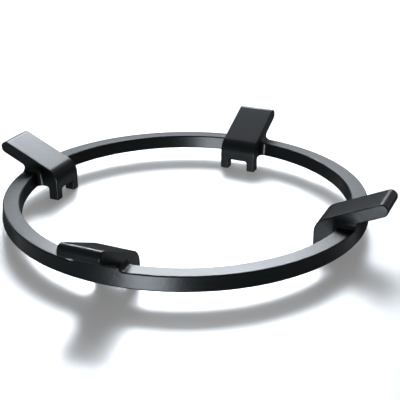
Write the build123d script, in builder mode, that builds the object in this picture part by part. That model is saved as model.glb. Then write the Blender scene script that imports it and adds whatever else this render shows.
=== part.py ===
import os
from math import cos, hypot, radians, sin, sqrt, tan

from build123d import *

# Wok ring: a cast iron ring with four supports. It stands over a gas burner,
# its feet straddle the fingers of the pan support, and its sloped pads carry
# the round bottom of a wok. All of it is one casting. Z = 0 is the plane of
# the feet, Z is the ring's axis, and the supports lie on X and Y.
# Sizes are in millimetres and degrees.

# The ring, a band whose walls spread downwards by the mould's draft
ring_outer_diameter = 230.0
ring_top_width = 10.3
ring_height = 9.1
draft_angle = 6.0

# The supports, each a leg inside the ring that carries a sloped arm over it
support_count = 4
support_width = 26.0
leg_reach = 26.3
leg_thickness = 7.1

# The feet, two prongs under each leg with a notch between them
foot_drop = 8.8
notch_width = 14.3
notch_roof_drop = 1.6

# The arms, flat pads that rise outwards from the leg to a round tip
pad_slope = 24.8
arm_thickness = 8.0
arm_overhang = 16.8
web_height = 3.85

# Rounded corners and edges of the casting
pad_corner_radius = 10.0
junction_radius = 3.1
under_arm_radius = 3.0
foot_root_radius = 1.5
notch_corner_radius = 1.5
edge_radius = 0.8

# The junction fillets take at most these shares of the web's height and of
# the room between a foot's root and the ring's inner wall
web_share = 0.95
root_share = 0.8
# Two heights that differ by less than this are the same
hair = 0.01

ring_bottom = foot_drop
ring_top = ring_bottom + ring_height
ring_outer_radius = ring_outer_diameter / 2
ring_inner_radius = ring_outer_radius - ring_top_width
ring_mid_radius = ring_outer_radius - ring_top_width / 2
wall_lean = tan(radians(draft_angle))
bottom_inner_radius = ring_inner_radius - wall_lean * ring_height
bottom_outer_radius = ring_outer_radius + wall_lean * ring_height

leg_inner_radius = ring_outer_radius - leg_reach
leg_outer_radius = leg_inner_radius + leg_thickness
notch_roof = ring_bottom - notch_roof_drop

slope = radians(pad_slope)
tip_radius = arm_thickness / 2
tip_centre_radius = ring_outer_radius + arm_overhang - tip_radius


def underside_height(radius):
    """Height of the arm's lower plane at a distance from the ring's axis."""
    return ring_top + web_height + tan(slope) * (radius - ring_outer_radius)


def pad_height(radius):
    """Height of the pad's plane at a distance from the ring's axis."""
    return underside_height(radius) + arm_thickness / cos(slope)


def arm_middle_height(radius):
    """Height halfway through the arm at a distance from the ring's axis."""
    return (pad_height(radius) + underside_height(radius)) / 2


def reach_at_side(radius):
    """How far out along a support a circle round the ring's axis meets its side."""
    return sqrt(radius**2 - (support_width / 2) ** 2)


def axis_distance(shape):
    """Distance of a shape's centre from the ring's axis."""
    return hypot(shape.center().X, shape.center().Y)


def level_faces(part, height):
    """Horizontal faces of a part that lie at a height."""
    faces = part.faces().filter_by(Plane.XY)
    return faces.filter_by_position(Axis.Z, height - hair, height + hair)


# One support: the side view of its foot, leg and arm, as wide as the pad
with BuildPart() as support:
    pad_corner = (leg_inner_radius, pad_height(leg_inner_radius))
    pad_end = (
        tip_centre_radius - tip_radius * sin(slope),
        arm_middle_height(tip_centre_radius) + tip_radius * cos(slope),
    )
    foot_root = (leg_outer_radius, ring_bottom)
    with BuildSketch(Plane.XZ) as side_view:
        with BuildLine():
            pad_line = Line(pad_corner, pad_end)
            tip_arc = JernArc(pad_line @ 1, pad_line % 1, tip_radius, -180)
            Polyline(
                tip_arc @ 1,
                (ring_mid_radius, underside_height(ring_mid_radius)),
                (ring_mid_radius, ring_bottom),
                foot_root,
                (leg_outer_radius, 0),
                (leg_inner_radius, 0),
                pad_corner,
            )
        make_face()
        fillet(side_view.vertices().sort_by_distance(pad_corner)[0], pad_corner_radius)
        fillet(side_view.vertices().sort_by_distance(foot_root)[0], foot_root_radius)
    extrude(amount=support_width / 2, both=True)

    # The notch between the two prongs, open at the soles
    with BuildSketch(Plane.YZ) as notch:
        Rectangle(notch_width, 2 * notch_roof)
        fillet(notch.vertices().group_by(Axis.Y)[-1], notch_corner_radius)
    extrude(amount=leg_outer_radius + foot_root_radius, mode=Mode.SUBTRACT)

with BuildPart() as wok_ring:
    # The band, turned tall enough to reach up into the arms
    web_top = arm_middle_height(ring_mid_radius)
    with BuildSketch(Plane.XZ.rotated((0, 0, 180 / support_count))):
        with BuildLine():
            Polyline(
                (bottom_inner_radius, ring_bottom),
                (bottom_outer_radius, ring_bottom),
                (ring_outer_radius - wall_lean * (web_top - ring_top), web_top),
                (ring_inner_radius + wall_lean * (web_top - ring_top), web_top),
                close=True,
            )
        make_face()
    revolve(axis=Axis.Z)

    # Beside the supports it is cut down to the ring's top
    with BuildSketch(Plane.XY.offset(ring_top)):
        Circle(ring_outer_diameter)
        with PolarLocations(ring_outer_radius, support_count):
            Rectangle(ring_outer_radius, support_width, mode=Mode.SUBTRACT)
    extrude(amount=web_top, mode=Mode.SUBTRACT)
    top_circles = level_faces(wok_ring, ring_top).edges().filter_by(GeomType.CIRCLE)
    fillet(top_circles.group_by(SortBy.RADIUS)[0], edge_radius)

    with PolarLocations(0, support_count):
        add(support.part)

    # The supports' sides flow into the ring's top and its inner wall
    web_outer_radius = ring_outer_radius - wall_lean * web_height
    web_side_height = underside_height(reach_at_side(web_outer_radius)) - ring_top
    root_room = reach_at_side(bottom_inner_radius) - leg_outer_radius - foot_root_radius
    side_lines = level_faces(wok_ring, ring_top).edges().filter_by(GeomType.LINE)
    room = min(web_share * web_side_height, root_share * root_room)
    fillet(side_lines, min(junction_radius, room))
    fillet(wok_ring.edges().filter_by(GeomType.ELLIPSE), under_arm_radius)

    # The outer edge's rounding runs on up each web and round the arm and leg
    top_circles = level_faces(wok_ring, ring_top).edges().filter_by(GeomType.CIRCLE)
    fillet(top_circles.group_by(SortBy.RADIUS)[-1], edge_radius)
    bottom_edges = level_faces(wok_ring, ring_bottom).edges()
    fillet(bottom_edges.filter_by(GeomType.CIRCLE), edge_radius)

    # The prongs' soles and the notches' outlines are rounded too
    roof_edges = level_faces(wok_ring, notch_roof).edges().group_by(axis_distance)
    sole_edges = level_faces(wok_ring, 0).edges()
    fillet(sole_edges + roof_edges[0] + roof_edges[-1], edge_radius)

wok_ring.part.label = "wok_ring"
os.makedirs("parts", exist_ok=True)
export_step(wok_ring.part, "parts/wok_ring.step")
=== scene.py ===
from math import atan2, cos, pi, radians, sin, tan

import bpy
from mathutils import Matrix, Vector

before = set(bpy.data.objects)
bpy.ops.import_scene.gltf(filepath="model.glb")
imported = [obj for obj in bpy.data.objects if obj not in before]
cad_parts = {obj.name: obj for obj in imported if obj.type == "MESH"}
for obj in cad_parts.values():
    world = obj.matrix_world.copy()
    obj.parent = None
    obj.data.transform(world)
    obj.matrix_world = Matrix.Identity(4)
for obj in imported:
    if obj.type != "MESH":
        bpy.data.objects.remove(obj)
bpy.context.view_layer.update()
scene = bpy.context.scene

# Camera
# It looks down on the ring at about 24 degrees with a long lens, between the
# support at the front and the one on the right, as in the photograph.
camera_place = Vector((0.2172, -0.4699, 0.2372))
camera_heading = radians(23.83)
camera_tilt = radians(-23.58)
camera_roll = radians(-0.14)
camera_lens = 79.08
camera_data = bpy.data.cameras.new("camera")
camera_data.lens = camera_lens
camera = bpy.data.objects.new("camera", camera_data)
camera.matrix_world = (
    Matrix.Translation(camera_place)
    @ Matrix.Rotation(camera_heading, 4, "Z")
    @ Matrix.Rotation(camera_tilt, 4, "X")
    @ Matrix.Rotation(camera_roll, 4, "Y")
    @ Matrix.Rotation(pi / 2, 4, "X")
)
scene.collection.objects.link(camera)
scene.camera = camera
scene.view_settings.view_transform = "Standard"

# Table
# The ring stands on its eight prongs on a plain table top of pale satin laminate.
# Like a studio sweep, it fills the picture from any side and looks paler farther
# off. The top casts no shadow, so the low lamp's light comes up through it.
table_width = 12.0
table_grey = 0.32
table_roughness = 0.4
table_index = 2.0
near_radius = 0.3
far_radius = 2.0
near_paleness = 0.2
far_paleness = 0.65


def only_seen(tree):
    """A value of 1 for what is seen, also in a gloss or through glass, and 0 for light."""
    ray = tree.nodes.new("ShaderNodeLightPath")
    seen = ray.outputs["Is Camera Ray"]
    for indirect_sight in ("Is Glossy Ray", "Is Transmission Ray"):
        either = tree.nodes.new("ShaderNodeMath")
        either.operation = "MAXIMUM"
        tree.links.new(seen, either.inputs[0])
        tree.links.new(ray.outputs[indirect_sight], either.inputs[1])
        seen = either.outputs["Value"]
    return seen


def pale_laminate():
    """Grey laminate with a white paleness that grows with distance and is only seen."""
    laminate = bpy.data.materials.new("pale_laminate")
    laminate.use_nodes = True
    tree = laminate.node_tree
    nodes = tree.nodes
    links = tree.links
    shader = nodes["Principled BSDF"]
    shader.inputs["Base Color"].default_value = (table_grey, table_grey, table_grey, 1)
    shader.inputs["Roughness"].default_value = table_roughness
    shader.inputs["IOR"].default_value = table_index
    shader.inputs["Emission Color"].default_value = (1, 1, 1, 1)
    place = nodes.new("ShaderNodeTexCoord")
    distance = nodes.new("ShaderNodeVectorMath")
    distance.operation = "LENGTH"
    links.new(place.outputs["Object"], distance.inputs[0])
    paleness = nodes.new("ShaderNodeMapRange")
    paleness.interpolation_type = "SMOOTHSTEP"
    paleness.inputs["From Min"].default_value = near_radius
    paleness.inputs["From Max"].default_value = far_radius
    paleness.inputs["To Min"].default_value = near_paleness
    paleness.inputs["To Max"].default_value = far_paleness
    links.new(distance.outputs["Value"], paleness.inputs["Value"])
    seen_paleness = nodes.new("ShaderNodeMath")
    seen_paleness.operation = "MULTIPLY"
    links.new(paleness.outputs["Result"], seen_paleness.inputs[0])
    links.new(only_seen(tree), seen_paleness.inputs[1])
    links.new(seen_paleness.outputs["Value"], shader.inputs["Emission Strength"])
    return laminate


bpy.ops.mesh.primitive_plane_add(size=table_width)
table = bpy.context.object
table.name = "table"
table.data.materials.append(pale_laminate())
table.visible_shadow = False

# Studio light
# Behind the ring hang a bright softbox and, round it, a wide dim sheet of light.
# A faint softbox hangs overhead. At the front left stand a dim lamp and, below
# the table top, the brightest one. The room is dim, and seen paler than it lights.
room_light = 0.15
room_tint = (1, 1.04, 1.08)
room_seen = 0.5
lamp_distance = 1.5
front_tint = (0.84, 0.92, 1)
aim_point = Vector((0, 0, 0.015))
bearing_behind = atan2(-camera_place.x, -camera_place.y)


def studio_room():
    """A world that lights dimly and slightly blue, and is seen pale grey."""
    room = bpy.data.worlds.new("studio")
    room.use_nodes = True
    tree = room.node_tree
    dim_room = tree.nodes["Background"]
    dim_room.inputs["Color"].default_value = (*(room_light * share for share in room_tint), 1)
    pale_room = tree.nodes.new("ShaderNodeBackground")
    pale_room.inputs["Color"].default_value = (room_seen, room_seen, room_seen, 1)
    choice = tree.nodes.new("ShaderNodeMixShader")
    tree.links.new(only_seen(tree), choice.inputs["Fac"])
    tree.links.new(dim_room.outputs["Background"], choice.inputs[1])
    tree.links.new(pale_room.outputs["Background"], choice.inputs[2])
    tree.links.new(choice.outputs["Shader"], tree.nodes["World Output"].inputs["Surface"])
    return room


def softbox(name, bearing, elevation, width, height, radiance, tint):
    """A flat lamp facing the ring, placed and sized in degrees as seen from there.

    Its bearing is 0 straight behind the ring for the camera, and grows clockwise.
    """
    bearing = radians(bearing) + bearing_behind
    elevation = radians(elevation)
    away = Vector((sin(bearing) * cos(elevation), cos(bearing) * cos(elevation), sin(elevation)))
    lamp = bpy.data.lights.new(name, "AREA")
    lamp.shape = "RECTANGLE"
    lamp.size = 2 * lamp_distance * tan(radians(width / 2))
    lamp.size_y = 2 * lamp_distance * tan(radians(height / 2))
    lamp.energy = radiance * pi * lamp.size * lamp.size_y
    lamp.color = tint
    # Only then does all of the low lamp's light pass the table top
    lamp.cycles.use_multiple_importance_sampling = False
    holder = bpy.data.objects.new(name, lamp)
    holder.location = aim_point + away * lamp_distance
    holder.rotation_mode = "QUATERNION"
    holder.rotation_quaternion = away.to_track_quat("Z", "Y")
    holder.visible_camera = False
    scene.collection.objects.link(holder)


scene.world = studio_room()
softbox("back_softbox", bearing=0, elevation=35, width=24, height=15, radiance=33, tint=(0.89, 0.94, 1))
softbox("back_sheet", bearing=1, elevation=36, width=41, height=41, radiance=3.5, tint=(0.8, 0.9, 1))
softbox("overhead_softbox", bearing=0, elevation=90, width=44, height=44, radiance=0.2, tint=(1, 1, 1))
softbox("side_lamp", bearing=-155, elevation=16, width=24, height=13, radiance=2, tint=front_tint)
softbox("low_lamp", bearing=-158, elevation=-12, width=24, height=18, radiance=57, tint=front_tint)

# Wok ring
# One iron casting, fettled and dipped in black enamel, then fired. The enamel
# is thick and satin, with a fine orange peel and a faint cloudiness, and it
# loses its gloss where it is seen at a slant.
enamel_black = (0.0006, 0.0012, 0.0013, 1)
enamel_haze = (0.0016, 0.0025, 0.0027, 1)
enamel_index = 1.2
glossiest = 0.28
dullest = 0.31
cloud_size = 0.022
cloud_detail = 2
thin_cloud = 0.3
thick_cloud = 0.7
slant_start = 0.585
slant_end = 0.79
slant_roughness = 1.0
dimple_size = 0.0024
dimple_detail = 1
dimple_depth = 0.0001
dimple_strength = 0.5


def black_enamel():
    """Near-black enamel whose tint, gloss and surface all vary a little."""
    enamel = bpy.data.materials.new("black_enamel")
    enamel.use_nodes = True
    nodes = enamel.node_tree.nodes
    links = enamel.node_tree.links
    shader = nodes["Principled BSDF"]
    shader.distribution = "GGX"
    shader.inputs["IOR"].default_value = enamel_index
    place = nodes.new("ShaderNodeTexCoord")

    # The cloudiness tints the black and varies its gloss
    cloud = nodes.new("ShaderNodeTexNoise")
    cloud.inputs["Scale"].default_value = 1 / cloud_size
    cloud.inputs["Detail"].default_value = cloud_detail
    links.new(place.outputs["Object"], cloud.inputs["Vector"])
    tone = nodes.new("ShaderNodeMix")
    tone.data_type = "RGBA"
    tone.inputs["A"].default_value = enamel_black
    tone.inputs["B"].default_value = enamel_haze
    links.new(cloud.outputs["Fac"], tone.inputs["Factor"])
    links.new(tone.outputs["Result"], shader.inputs["Base Color"])
    satin = nodes.new("ShaderNodeMapRange")
    satin.inputs["From Min"].default_value = thin_cloud
    satin.inputs["From Max"].default_value = thick_cloud
    satin.inputs["To Min"].default_value = glossiest
    satin.inputs["To Max"].default_value = dullest
    links.new(cloud.outputs["Fac"], satin.inputs["Value"])

    # The gloss fades at a slant
    slant = nodes.new("ShaderNodeLayerWeight")
    dulling = nodes.new("ShaderNodeMapRange")
    dulling.interpolation_type = "SMOOTHSTEP"
    dulling.inputs["From Min"].default_value = slant_start
    dulling.inputs["From Max"].default_value = slant_end
    dulling.inputs["To Max"].default_value = slant_roughness
    links.new(slant.outputs["Facing"], dulling.inputs["Value"])
    links.new(satin.outputs["Result"], dulling.inputs["To Min"])
    links.new(dulling.outputs["Result"], shader.inputs["Roughness"])

    # Shallow dimples make the orange peel
    dimples = nodes.new("ShaderNodeTexNoise")
    dimples.inputs["Scale"].default_value = 1 / dimple_size
    dimples.inputs["Detail"].default_value = dimple_detail
    links.new(place.outputs["Object"], dimples.inputs["Vector"])
    peel = nodes.new("ShaderNodeBump")
    peel.inputs["Strength"].default_value = dimple_strength
    peel.inputs["Distance"].default_value = dimple_depth
    links.new(dimples.outputs["Fac"], peel.inputs["Height"])
    links.new(peel.outputs["Normal"], shader.inputs["Normal"])
    return enamel


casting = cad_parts["wok_ring"]
casting.data.materials.clear()
casting.data.materials.append(black_enamel())
